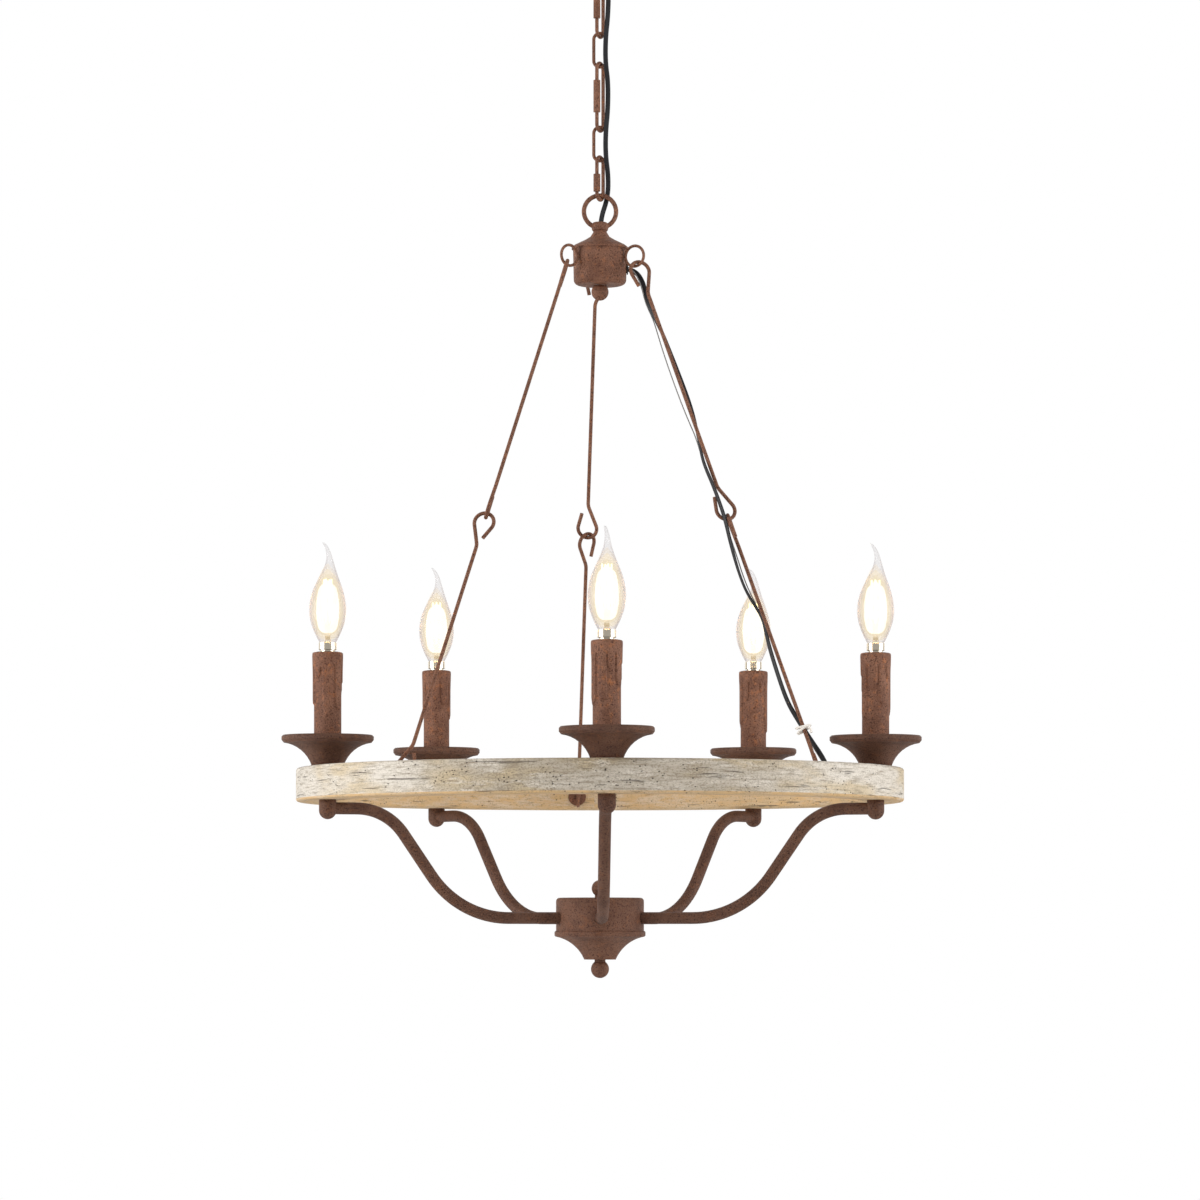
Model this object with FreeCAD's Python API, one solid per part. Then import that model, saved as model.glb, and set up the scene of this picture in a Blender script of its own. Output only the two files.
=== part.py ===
# Wagon wheel chandelier. A short chain carries an iron hub, six hooked rods hang a wooden rim from
# it, and five curved tubes join the rim to a lower hub. Five candle lamps stand on the rim.
# Millimetres. The origin is on the ceiling plane above the axis, +Z is up and +Y is away from the
# viewer. Heights are stacked downwards from the ceiling, each piece from the one that carries it.

import FreeCAD
import Part
import os
import math

os.makedirs("parts", exist_ok=True)
V = FreeCAD.Vector
UP = V(0, 0, 1)

# Clearances
hang_gap = 0.3           # between two wires that hang in one another
bore_gap = 0.05          # radial, round a pipe or bolt in its hole
slide_gap = 0.06         # radial, a screw sleeve on its link
collar_gap = 0.1         # radial, a threaded ring on its collar

# Ceiling crossbar, nipple and nut
crossbar_length = 110
crossbar_width = 20
crossbar_thickness = 2
slot_spacing = 89
slot_length = 12
slot_width = 5
nipple_radius = 4.8
nipple_bore = 3.2
nipple_grip = 14         # length screwed into the canopy loop
locknut_width = 14
locknut_height = 4

# Canopy with its screw-collar loop
canopy_radius = 64
canopy_height = 28
canopy_lip = 5
canopy_flat_radius = 30
canopy_bulge = 6
canopy_wall = 1.4
canopy_hole = 13.6
collar_radius = 13
collar_above_canopy = 6
collar_below_canopy = 18
collar_bevel = 2
collar_ring_radius = 18
collar_ring_height = 7
collar_ring_round = 1.5
loop_radius = 14.3       # to the middle of the wire
loop_wire = 4.4
loop_bore = 3.5
loop_turn = -30          # degrees, the way the loop's plane faces

# Chain of screw links and plain ovals, the middle link shapes as length and width over the wire
link_turn = 60
long_link_length = 69
link_width = 16
link_wire = 3.5
long_sleeve_length = 30.7
long_gap_low = -14
long_gap_high = -6
quick_link_length = 45
quick_nut_low = -13.3
quick_nut_length = 16.7
quick_gap_low = -12.5
quick_gap_high = -5
sleeve_radius = 3.35
oval_length = 35.8
oval_width = 15.2
oval_wire = 3.2
oval_joint = 0.4         # the butted ends of a bent oval

# Hub
hub_ring_radius = 15.55
hub_ring_wire = 4.4
neck_drop = 4.55         # from the ring's lowest wire to the lid
neck_height = 9.7
neck_radius = 8.35
neck_waist = 6.6
neck_bore = 3.6
neck_foot = 1
neck_shoulder = 2.2      # heights of its foot, shoulder and belly
neck_belly = 5.5
neck_step = 0.6
neck_hollow = 0.8
lid_height = 16.5
lid_overhang = 1.25
lid_edge = 1.7
lid_brim = 3             # the brim's slope runs in and up by these
lid_brim_rise = 2.4
lid_low_radius = 14.7    # the cone's two ridges
lid_low_height = 8.9
lid_high_radius = 9.4
lid_high_height = 12.1
lid_wall = 2
shell_radius = 26.15
shell_taper = 0.8
shell_height = 34.5
shell_wall = 2
shell_round = 5
stem_radius = 5
stem_bore = 3.5
stem_into_neck = 5
stem_into_finial = 6
hub_finial_radius = 8.3
hub_finial_drop = 6.7    # from the shell's floor to the middle of the ball
window_top_drop = 2.5    # cord window in the stem, below the lid's edge
window_length = 28
window_width = 7.2
grommet_drop = 18.3      # below the lid's edge
grommet_radius = 4.6
grommet_bore = 3.9
grommet_flange = 6
grommet_flange_thickness = 1.2

# Eyes: a wire ring on a shank, the same in the hub and in the rim
eye_radius = 9.9
eye_wire = 2.8
eye_stand_off = 0.6      # between the ring and the hub's shell
hub_eye_drop = 9.1       # below the lid's edge
eye_head_radius = 3
eye_head_height = 1.5
rim_eye_radius = 241     # from the axis to the middle of the ring
rim_eye_height = 12.7    # above the rim's lower face
eye_screw_depth = 22
washer_radius = 8.95
washer_thickness = 1.2
washer_touch = 0.02
seat_touch = 0.1         # between a flat piece's corners and the round wall that it bears on

# Rods: a straight wire with a teardrop hook at each end
rod_wire = 3.6
upper_rod_length = 271   # inside crown to inside crown, along the middle of the wire
lower_rod_length = 272
hook_radius = 9.5
hook_neck = 33           # from the crown to where the hook closes
neck_bend = 14
tip_length = 13
suspension_angles = (94, 218, 330)
upper_swivels = (18, 37, 39)      # degrees that each hook's plane turns about its rod
lower_swivels = (-36, -36, -27)
upper_free_sides = (1, -1, -1)    # which side of the rod the hooks' open ends are on
lower_free_sides = (-1, 1, -1)
upper_curls = (14, 12, 12)        # degrees that the open ends lean in
lower_curls = (14, 24, 12)

# Wooden rim
rim_outer = 293.7
rim_inner = 253.7
rim_height = 32
rim_edge = 2.5
cord_hole_radius = 4
cord_hole_offset = 15.5  # sideways from the right-hand eye
cord_hole_height = 17
cord_hole_depth = 14

# Arms: S-curved tubes from under the rim to the lower hub
arm_angles = (-90, -18, 54, 126, 198)
arm_radius = 5.75
arm_bore = 4.75
arm_drop_below_rim = 8.3
arm_fall = 103.9
first_bend_from_rim = 29.3
first_bend = 56
second_bend = 95
bend_angle = 55
arm_inner_end = 33
arm_end_from_rim = 5.4
ferrule_radius = 8.3
ferrule_height = 18.8
ferrule_round = 5
ferrule_bore = 4         # level, towards the arm
arm_nut_width = 15
arm_nut_thickness = 4

# Cups, sleeves and lampholders on the rim
pipe_radius = 5
pipe_bore = 3.5
pipe_below_rim = 5
cup_radius = 43.75
cup_height = 29
cup_foot_radius = 15.2
cup_floor = 3
cup_flare_radius = 41.8
cup_flare_height = 22
cup_flare_rise = 5
cup_lip = 2.45
cup_band = 2.5           # from the flare's top to the straight band
cup_bevel = 1.4
cup_hollow = 4.65
cup_nut_width = 17
cup_nut_height = 4
sleeve_outer = 13
sleeve_wall = 1.1
sleeve_length = 105
holder_radius = 10.3
holder_height = 36
holder_cavity = 7.2
holder_floor = 5
holder_round = 1
pipe_into_holder = 6

# Bulbs
cap_radius = 8.75
cap_height = 9
cap_round = 0.8
screw_radius = 5.8
screw_length = 15
contact_radius = 3
contact_length = 3
bulb_stem_radius = 3
bulb_stem_height = 22
spider_radius = 6.2
spider_thickness = 1
filament_radius = 0.9
filament_length = 30
filament_circle = 5
filaments = 4
glass_foot = 8.2
glass_belly = 17.5
glass_belly_height = 32
glass_shoulder = 6.8
glass_shoulder_height = 71
glass_height = 95.5
glass_tip = 0.6
glass_bulge = 2.1
glass_tip_hollow = 1.3
glass_wall = 0.9

# Lower hub
drum_radius = 42.55
drum_height = 32.1
drum_round = 3.5
drum_wall = 2
arm_above_drum_foot = 12.4
arm_hole_gap = 0.3
bowl_radius = 44.05
bowl_rim = 5.5
bowl_height = 27.7
bowl_foot_radius = 15.3
bowl_rise = 4.5
bowl_wall = 3
bowl_bevel = 1
bowl_inset = 1.6         # from the drum's inside to the bowl's
bolt_radius = 4
bolt_into_knob = 6
bolt_into_finial = 7
knob_radius = 8.1
knob_neck_radius = 5
knob_lift = 9.1          # from the drum's top to the middle of the ball
finial_radius = 8.75
finial_neck_radius = 5.3
finial_lift = 9.2

# Cords
cord_radius = 2.2
wire_radius = 0.8
arc_share = 0.45         # share of the shorter run that each rounded corner takes
tie_at = 487             # along the right-hand rods from the top crown
tie_inner = 3.0
tie_wall = 1.2
tie_height = 5
tie_behind = V(0.2, 5.3, 0)    # from the rod to the cord that the tie holds against it


# ---------------------------------------------------------------- helpers

def radial(angle):
    return V(math.cos(math.radians(angle)), math.sin(math.radians(angle)), 0)


def line(start, end):
    return Part.LineSegment(start, end).toShape()


def arc(start, middle, end):
    return Part.Arc(start, middle, end).toShape()


def corner_arc(before, corner, after, radius):
    # Start, middle and end of the arc that rounds a corner between two straight runs
    back = (before - corner).normalize()
    ahead = (after - corner).normalize()
    half = back.getAngle(ahead) / 2
    run = radius / math.tan(half)
    inwards = (back + ahead).normalize()
    middle = corner + inwards * (radius / math.sin(half) - radius)
    return corner + back * run, middle, corner + ahead * run


def bow(start_r, start_z, end_r, end_z, rise):
    # An outline's arc: its middle stands the rise to the left of the chord
    chord = V(end_r - start_r, end_z - start_z, 0)
    left = V(-chord.y, chord.x, 0).normalize() * rise
    return ((start_r + end_r) / 2 + left.x, (start_z + end_z) / 2 + left.y, end_r, end_z)


def outline(steps):
    # Each step is (r, z) for a corner, (r, z, radius) for a rounded corner, or (r, z, r, z) for an
    # arc by way of the first pair to the second
    def place(step):
        return V(step[0], 0, step[1]) if len(step) < 4 else V(step[2], 0, step[3])

    edges = []
    here = place(steps[0])
    count = len(steps)
    for i in range(1, count + 1):
        step = steps[i % count]
        there = place(step)
        if len(step) == 4:
            edges.append(arc(here, V(step[0], 0, step[1]), there))
            here = there
        elif len(step) == 3:
            start, middle, end = corner_arc(place(steps[i - 1]), there, place(steps[(i + 1) % count]), step[2])
            edges.append(line(here, start))
            edges.append(arc(start, middle, end))
            here = end
        elif here.distanceToPoint(there) > 1e-6:
            edges.append(line(here, there))
            here = there
    return Part.Face(Part.Wire(edges))


def turned(steps, place=V(0, 0, 0)):
    # Solid of revolution, its outline's z measured from the place
    solid = outline(steps).revolve(V(0, 0, 0), UP, 360).Solids[0]
    if solid.Volume < 0:
        solid.reverse()
    solid.translate(place)
    return solid


def swept(edges, radius):
    path = Part.Wire(edges)
    start = edges[0].valueAt(edges[0].FirstParameter)
    direction = edges[0].tangentAt(edges[0].FirstParameter)
    section = Part.Wire(Part.Circle(start, direction, radius).toShape())
    return path.makePipeShell([section], True, False).Solids[0]


def cylinder(start, direction, radius, length):
    return Part.makeCylinder(radius, length, start, direction)


def ring(centre, normal, radius, wire):
    return Part.makeTorus(radius, wire / 2, centre, normal)


def hexagon(start, direction, width, height, hole):
    corner = width / math.sqrt(3)
    points = [V(corner * math.cos(math.radians(60 * i)), corner * math.sin(math.radians(60 * i)), 0)
              for i in range(7)]
    nut = Part.Face(Part.makePolygon(points)).extrude(UP * height)
    nut = nut.cut(cylinder(V(0, 0, 0), UP, hole, height))
    nut.Placement = FreeCAD.Placement(start, FreeCAD.Rotation(UP, direction))
    return nut


def save(name, shapes):
    solids = [solid for shape in shapes for solid in shape.Solids]
    group = Part.makeCompound(solids) if len(solids) > 1 else solids[0]
    group.exportStep("parts/" + name + ".step")
    volume = sum(solid.Volume for solid in solids)
    print(name, len(solids), "solids", round(volume, 1), "mm3", "valid" if group.isValid() else "NOT VALID")


# ---------------------------------------------------------------- ceiling fitting

collar_top_z = collar_above_canopy - canopy_height
collar_foot_z = collar_top_z - collar_above_canopy - collar_below_canopy
nipple_end_z = collar_top_z - nipple_grip
loop_z = collar_foot_z - loop_radius
loop_across = radial(loop_turn)


def crossbar():
    bar = Part.makeBox(crossbar_length, crossbar_width, crossbar_thickness,
                       V(-crossbar_length / 2, -crossbar_width / 2, -crossbar_thickness))
    half_straight = (slot_length - slot_width) / 2
    for side in (-1, 1):
        middle = side * slot_spacing / 2
        slot = Part.makeBox(2 * half_straight, slot_width, crossbar_thickness,
                            V(middle - half_straight, -slot_width / 2, -crossbar_thickness))
        for end in (-half_straight, half_straight):
            slot = slot.fuse(cylinder(V(middle + end, 0, -crossbar_thickness), UP, slot_width / 2,
                                      crossbar_thickness))
        bar = bar.cut(slot)
    return bar.cut(cylinder(V(0, 0, -crossbar_thickness), UP, nipple_radius + bore_gap, crossbar_thickness))


def canopy():
    inside = canopy_radius - canopy_wall
    floor = canopy_wall - canopy_height
    return turned([(canopy_radius, 0), (canopy_radius, -canopy_lip),
                   bow(canopy_radius, -canopy_lip, canopy_flat_radius, -canopy_height, canopy_bulge),
                   (canopy_hole, -canopy_height), (canopy_hole, floor), (canopy_flat_radius, floor),
                   bow(canopy_flat_radius, floor, inside, -canopy_lip, -canopy_bulge),
                   (inside, 0)])


def canopy_loop():
    thread = nipple_radius + bore_gap
    body = turned([(loop_bore, collar_foot_z), (collar_radius - collar_bevel, collar_foot_z),
                   (collar_radius, collar_foot_z + collar_bevel), (collar_radius, collar_top_z),
                   (thread, collar_top_z), (thread, nipple_end_z), (loop_bore, nipple_end_z)])
    body = body.fuse(ring(V(0, 0, loop_z), loop_across.cross(UP), loop_radius, loop_wire))
    return body.cut(cylinder(V(0, 0, nipple_end_z), -UP, loop_bore, nipple_end_z - collar_foot_z + loop_wire))


def ceiling_fitting():
    save("crossbar", [crossbar()])
    nipple = cylinder(V(0, 0, nipple_end_z), UP, nipple_radius, -nipple_end_z)
    save("ceiling_nipple", [nipple.cut(cylinder(V(0, 0, nipple_end_z), UP, nipple_bore, -nipple_end_z))])
    save("nipple_locknut", [hexagon(V(0, 0, -crossbar_thickness), -UP, locknut_width, locknut_height,
                                    nipple_radius + bore_gap)])
    save("canopy", [canopy()])
    hole = collar_radius + collar_gap
    top = -canopy_height
    foot = top - collar_ring_height
    save("collar_ring", [turned([(hole, top), (collar_ring_radius, top), (collar_ring_radius, foot, collar_ring_round),
                                 (hole, foot)])])
    save("canopy_loop", [canopy_loop()])


# ---------------------------------------------------------------- chain

def bar_pitch(wire_above, wire_below):
    # From the middle of a hanging bar up to the middle of the bar that it hangs in
    return wire_above / 2 + wire_below / 2 + hang_gap


class Link:
    # A straight-sided wire link: its bars' heights, and its left leg, which has the opening
    def __init__(self, bar_above_z, wire_above, length, width, wire, turn):
        self.top_bar_z = bar_above_z + bar_pitch(wire_above, wire)
        self.bottom_bar_z = self.top_bar_z - (length - wire)
        self.middle_z = (self.top_bar_z + self.bottom_bar_z) / 2
        self.across = radial(turn)
        self.bend = (width - wire) / 2
        self.straight = (length - width) / 2
        self.wire = wire

    def at(self, side, height):
        return self.across * side + UP * (self.middle_z + height)

    def solid(self, gap_low, gap_high):
        b, h = self.bend, self.straight
        return swept([line(self.at(-b, gap_high), self.at(-b, h)),
                      arc(self.at(-b, h), self.at(0, h + b), self.at(b, h)),
                      line(self.at(b, h), self.at(b, -h)),
                      arc(self.at(b, -h), self.at(0, -h - b), self.at(-b, -h)),
                      line(self.at(-b, -h), self.at(-b, gap_low))], self.wire / 2)

    def sleeve(self, low, length):
        start = self.at(-self.bend, low)
        tube = cylinder(start, UP, sleeve_radius, length)
        return tube.cut(cylinder(start, UP, self.wire / 2 + slide_gap, length))


def oval(bar_above_z, wire_above):
    return Link(bar_above_z, wire_above, oval_length, oval_width, oval_wire, loop_turn + 90 - link_turn)


def long_link(bar_above_z, wire_above):
    return Link(bar_above_z, wire_above, long_link_length, link_width, link_wire, link_turn)


long_link_2 = long_link(loop_z - loop_radius, loop_wire)
chain_oval_2 = oval(long_link_2.bottom_bar_z, link_wire)
long_link_1 = long_link(chain_oval_2.bottom_bar_z, oval_wire)
chain_oval_1 = oval(long_link_1.bottom_bar_z, link_wire)
quick_link = Link(chain_oval_1.bottom_bar_z, oval_wire, quick_link_length, link_width, link_wire, link_turn)
hub_ring_z = quick_link.bottom_bar_z + bar_pitch(link_wire, hub_ring_wire) - hub_ring_radius


def chain():
    for name, link in (("long_link_1", long_link_1), ("long_link_2", long_link_2)):
        save(name, [link.solid(long_gap_low, long_gap_high)])
        save(name + "_sleeve", [link.sleeve(-long_sleeve_length / 2, long_sleeve_length)])
    for name, link in (("chain_oval_1", chain_oval_1), ("chain_oval_2", chain_oval_2)):
        save(name, [link.solid(-oval_joint / 2, oval_joint / 2)])
    save("quick_link", [quick_link.solid(quick_gap_low, quick_gap_high)])
    save("quick_link_nut", [quick_link.sleeve(quick_nut_low, quick_nut_length)])


# ---------------------------------------------------------------- hub

lid_top_z = hub_ring_z - hub_ring_radius - neck_drop
shell_top_z = lid_top_z - lid_height
shell_foot_z = shell_top_z - shell_height
stem_top_z = lid_top_z + stem_into_neck
stem_foot_z = shell_foot_z - stem_into_finial
stem_hole = stem_radius + bore_gap
hub_eye_z = shell_top_z - hub_eye_drop
hub_eye_radius = shell_radius + eye_stand_off + eye_wire / 2 + eye_radius
grommet_z = shell_top_z - grommet_drop


def shell_radius_at(drop):
    return shell_radius - shell_taper * drop / shell_height


def eye(centre, outwards, shank_end):
    # The ring stands in the upright plane of its shank
    wire = ring(centre, outwards.cross(UP), eye_radius, eye_wire)
    near_side = math.copysign(eye_radius, shank_end)
    return wire.fuse(cylinder(centre + outwards * near_side, outwards * near_side, eye_wire / 2,
                              abs(shank_end - near_side)))


def hub_ring():
    top = neck_height
    collar = turned([(neck_bore, stem_into_neck), (stem_hole, stem_into_neck), (stem_hole, 0), (neck_waist, 0),
                     (neck_waist, neck_foot), (neck_radius - neck_step, neck_shoulder), (neck_radius, neck_belly),
                     bow(neck_radius, neck_belly, neck_waist - neck_step, top, -neck_hollow), (neck_bore, top)],
                    V(0, 0, lid_top_z))
    whole = collar.fuse(ring(V(0, 0, hub_ring_z), V(0, 1, 0), hub_ring_radius, hub_ring_wire))
    whole = whole.cut(cylinder(V(0, 0, stem_top_z), UP, neck_bore, top - stem_into_neck))
    return whole.cut(cylinder(V(0, 0, lid_top_z), UP, stem_hole, stem_into_neck))


def hub_lid():
    # The inside repeats the outside's ridges, lower by the wall and half of it further in
    edge = shell_radius + lid_overhang
    brim = edge - lid_brim
    brim_height = lid_edge + lid_brim_rise
    return turned([(stem_hole, lid_height), (stem_hole, lid_high_height),
                   (lid_high_radius - lid_wall / 2, lid_high_height - lid_wall),
                   (lid_low_radius - lid_wall / 2, lid_low_height - lid_wall),
                   (brim - lid_wall, brim_height - lid_wall), (shell_radius - shell_wall, 0),
                   (edge, 0), (edge, lid_edge), (brim, brim_height), (lid_low_radius, lid_low_height),
                   (lid_high_radius, lid_high_height), (neck_waist, lid_height)], V(0, 0, shell_top_z))


def hub_shell():
    foot_radius = shell_radius_at(shell_height)
    shell = turned([(stem_hole, 0), (foot_radius, 0, shell_round), (shell_radius, shell_height),
                    (shell_radius - shell_wall, shell_height),
                    (foot_radius - shell_wall, shell_wall, shell_round - shell_wall), (stem_hole, shell_wall)],
                   V(0, 0, shell_foot_z))
    for angle in suspension_angles:
        shell = shell.cut(cylinder(V(0, 0, hub_eye_z), radial(angle), eye_wire / 2 + bore_gap, 2 * shell_radius))
    return shell.cut(cylinder(V(0, 0, grommet_z), V(1, 0, 0), grommet_radius + bore_gap, 2 * shell_radius))


def hub_stem():
    length = stem_top_z - stem_foot_z
    stem = cylinder(V(0, 0, stem_foot_z), UP, stem_radius, length)
    stem = stem.cut(cylinder(V(0, 0, stem_foot_z), UP, stem_bore, length))
    return stem.cut(Part.makeBox(2 * stem_radius, window_width, window_length,
                                 V(0, -window_width / 2, shell_top_z - window_top_drop - window_length)))


def hub_finial():
    ball = Part.makeSphere(hub_finial_radius, V(0, 0, shell_foot_z - hub_finial_drop))
    size = 4 * hub_finial_radius
    ball = ball.cut(Part.makeBox(size, size, size, V(-size / 2, -size / 2, shell_foot_z)))
    return ball.cut(cylinder(V(0, 0, shell_foot_z), -UP, stem_hole, stem_into_finial))


def hub_eye(angle):
    outwards = radial(angle)
    inner_wall = shell_radius_at(hub_eye_drop) - shell_wall
    seat = math.sqrt((inner_wall - seat_touch) ** 2 - eye_head_radius ** 2)
    whole = eye(outwards * hub_eye_radius + UP * hub_eye_z, outwards, seat - hub_eye_radius)
    return whole.fuse(cylinder(outwards * seat + UP * hub_eye_z, -outwards, eye_head_radius, eye_head_height))


def hub_grommet():
    flange_from = shell_radius_at(grommet_drop - grommet_flange) + bore_gap
    body_from = flange_from - 2 * shell_wall
    flange_to = flange_from + grommet_flange_thickness
    x = V(1, 0, 0)
    body = cylinder(V(body_from, 0, grommet_z), x, grommet_radius, flange_to - body_from)
    body = body.fuse(cylinder(V(flange_from, 0, grommet_z), x, grommet_flange, grommet_flange_thickness))
    return body.cut(cylinder(V(body_from, 0, grommet_z), x, grommet_bore, flange_to - body_from))


def hub():
    save("hub_ring", [hub_ring()])
    save("hub_lid", [hub_lid()])
    save("hub_shell", [hub_shell()])
    save("hub_stem", [hub_stem()])
    save("hub_finial", [hub_finial()])
    save("hub_eyes", [hub_eye(angle) for angle in suspension_angles])
    save("hub_grommet", [hub_grommet()])


# ---------------------------------------------------------------- rods

hook_pitch = bar_pitch(rod_wire, rod_wire)
eye_pitch = bar_pitch(rod_wire, eye_wire)
suspension_length = upper_rod_length + lower_rod_length - hook_pitch + 2 * (eye_radius - eye_pitch)
suspension_spread = rim_eye_radius - hub_eye_radius
suspension_fall = math.sqrt(suspension_length ** 2 - suspension_spread ** 2)
rim_eye_z = hub_eye_z - suspension_fall


class Suspension:
    # The straight line from a hub eye to the rim eye below it, and what lies along it
    def __init__(self, angle):
        self.outwards = radial(angle)
        self.hub_eye = self.outwards * hub_eye_radius + UP * hub_eye_z
        self.rim_eye = self.outwards * rim_eye_radius + UP * rim_eye_z
        self.along = (self.rim_eye - self.hub_eye).normalize()
        self.sideways = UP.cross(self.outwards)
        self.top_crown = self.hub_eye + self.along * (eye_radius - eye_pitch)
        self.middle_crown = self.at(upper_rod_length - hook_pitch)

    def at(self, distance, dx=0, dy=0):
        return self.top_crown + self.along * distance + V(dx, dy, 0)

    def across(self, swivel):
        square = self.along.cross(self.sideways)
        return self.sideways * math.cos(math.radians(swivel)) + square * math.sin(math.radians(swivel))


def hook_points(crown, inwards, across, free_side, curl):
    # From the tip round the crown to the straight shank
    def at(side, height):
        return crown + across * (free_side * side) + inwards * height

    lean = math.radians(curl)
    leave = at(hook_radius * math.cos(lean), hook_radius * (1 + math.sin(lean)))
    tip = leave + across * (-free_side * tip_length * math.sin(lean)) + inwards * (tip_length * math.cos(lean))
    reach = hook_neck - hook_radius
    slant = math.asin(hook_radius / reach)
    run = reach * math.cos(slant)
    touch = at(-run * math.sin(slant), hook_neck - run * math.cos(slant))
    bend = corner_arc(touch, at(0, hook_neck), at(0, 2 * hook_neck), neck_bend)
    return tip, leave, crown, touch, bend


def rod(crown, along, across, length, free_side, curl):
    tip, leave, top, touch, bend = hook_points(crown, along, across, free_side, curl)
    edges = [line(tip, leave), arc(leave, top, touch), line(touch, bend[0]), arc(*bend)]
    shank_start = bend[2]
    tip, leave, foot, touch, bend = hook_points(crown + along * length, -along, across, free_side, curl)
    edges += [line(shank_start, bend[2]), arc(bend[2], bend[1], bend[0]), line(bend[0], touch),
              arc(touch, foot, leave), line(leave, tip)]
    return swept(edges, rod_wire / 2)


suspensions = [Suspension(angle) for angle in suspension_angles]


def rods():
    for i, hanging in enumerate(suspensions):
        number = str(i + 1)
        upper = rod(hanging.top_crown, hanging.along, hanging.across(upper_swivels[i]), upper_rod_length,
                    upper_free_sides[i], upper_curls[i])
        lower = rod(hanging.middle_crown, hanging.along, hanging.across(lower_swivels[i]), lower_rod_length,
                    lower_free_sides[i], lower_curls[i])
        save("upper_rod_" + number, [upper])
        save("lower_rod_" + number, [lower])


# ---------------------------------------------------------------- rim

rim_foot_z = rim_eye_z - rim_eye_height
rim_top_z = rim_foot_z + rim_height
rim_middle = (rim_outer + rim_inner) / 2
washer_seat = math.sqrt(rim_inner ** 2 - washer_radius ** 2) - washer_touch
cord_hole_z = rim_foot_z + cord_hole_height


def wood_rim():
    half = rim_height / 2
    rim = turned([(rim_inner, 0), (rim_inner, -half, rim_edge), (rim_outer, -half, rim_edge),
                  (rim_outer, half, rim_edge), (rim_inner, half, rim_edge)], V(0, 0, rim_foot_z + half))
    for angle in arm_angles:
        rim = rim.cut(cylinder(radial(angle) * rim_middle + UP * rim_foot_z, UP, pipe_radius + bore_gap,
                               rim_height))
    for hanging in suspensions:
        rim = rim.cut(cylinder(hanging.rim_eye, hanging.outwards, eye_wire / 2 + bore_gap,
                               washer_seat + eye_screw_depth - rim_eye_radius))
    right = suspensions[2]
    mouth = right.outwards * rim_eye_radius + right.sideways * cord_hole_offset + UP * cord_hole_z
    return rim.cut(cylinder(mouth, right.outwards, cord_hole_radius, rim_inner + cord_hole_depth - rim_eye_radius))


def rim_eyes():
    pieces = []
    for hanging in suspensions:
        shank_end = washer_seat + eye_screw_depth - rim_eye_radius
        pieces.append(eye(hanging.rim_eye, hanging.outwards, shank_end))
        seat = hanging.outwards * washer_seat + UP * rim_eye_z
        washer = cylinder(seat, -hanging.outwards, washer_radius, washer_thickness)
        pieces.append(washer.cut(cylinder(seat, -hanging.outwards, eye_wire / 2 + bore_gap, washer_thickness)))
    return pieces


# ---------------------------------------------------------------- arms and lower hub

arm_top_z = rim_foot_z - arm_drop_below_rim
arm_low_z = arm_top_z - arm_fall
arm_outer_end = rim_middle - arm_end_from_rim
drum_foot_z = arm_low_z - arm_above_drum_foot
drum_top_z = drum_foot_z + drum_height
bowl_foot_z = drum_foot_z - bowl_height


def arm_edges(angle):
    # In (r, z): level under the rim, a bend down, a straight slope, and a longer bend back to level
    outwards = radial(angle)
    slope = math.radians(bend_angle)
    slope_length = (arm_fall - (first_bend + second_bend) * (1 - math.cos(slope))) / math.sin(slope)
    bend_start = rim_middle - first_bend_from_rim

    def first(turn):
        return at(bend_start - first_bend * math.sin(turn), arm_top_z - first_bend * (1 - math.cos(turn)))

    def second(turn):
        return at(level_start + second_bend * math.sin(turn), arm_low_z + second_bend * (1 - math.cos(turn)))

    def at(r, z):
        return outwards * r + UP * z

    level_start = (bend_start - (first_bend + second_bend) * math.sin(slope)
                   - slope_length * math.cos(slope))
    return [line(at(arm_outer_end, arm_top_z), first(0)), arc(first(0), first(slope / 2), first(slope)),
            line(first(slope), second(slope)), arc(second(slope), second(slope / 2), second(0)),
            line(second(0), at(arm_inner_end, arm_low_z))]


def arm(angle):
    edges = arm_edges(angle)
    return swept(edges, arm_radius).cut(swept(edges, arm_bore))


def ferrule(angle):
    # A round socket under the rim: the arm enters from the axis side, the pipe from above
    place = radial(angle) * rim_middle + UP * rim_foot_z
    pipe_hole = pipe_radius + bore_gap
    body = turned([(0, -ferrule_height), (ferrule_radius, -ferrule_height, ferrule_round), (ferrule_radius, 0),
                   (pipe_hole, 0), (pipe_hole, -pipe_below_rim), (pipe_bore, -pipe_below_rim),
                   (pipe_bore, -arm_drop_below_rim), (0, -arm_drop_below_rim)], place)
    inwards = -radial(angle)
    axle = radial(angle) * rim_middle + UP * arm_top_z
    body = body.cut(cylinder(axle, inwards, ferrule_bore, ferrule_radius))
    return body.cut(cylinder(axle + inwards * arm_end_from_rim, inwards, arm_radius + bore_gap, ferrule_radius))


def arm_nut(angle):
    inner_wall = drum_radius - drum_wall
    seat = math.sqrt((inner_wall - seat_touch) ** 2 - arm_nut_width ** 2 / 3)
    start = radial(angle) * (seat - arm_nut_thickness) + UP * arm_low_z
    return hexagon(start, radial(angle), arm_nut_width, arm_nut_thickness, arm_radius + bore_gap)


def drum():
    hole = bolt_radius + bore_gap
    inside = drum_radius - drum_wall
    shell = turned([(hole, drum_height - drum_wall), (hole, drum_height), (drum_radius, drum_height, drum_round),
                    (drum_radius, 0), (inside, 0),
                    (inside, drum_height - drum_wall, drum_round - drum_wall)], V(0, 0, drum_foot_z))
    for angle in arm_angles:
        shell = shell.cut(cylinder(UP * arm_low_z, radial(angle), arm_radius + arm_hole_gap, 2 * drum_radius))
    return shell


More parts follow.
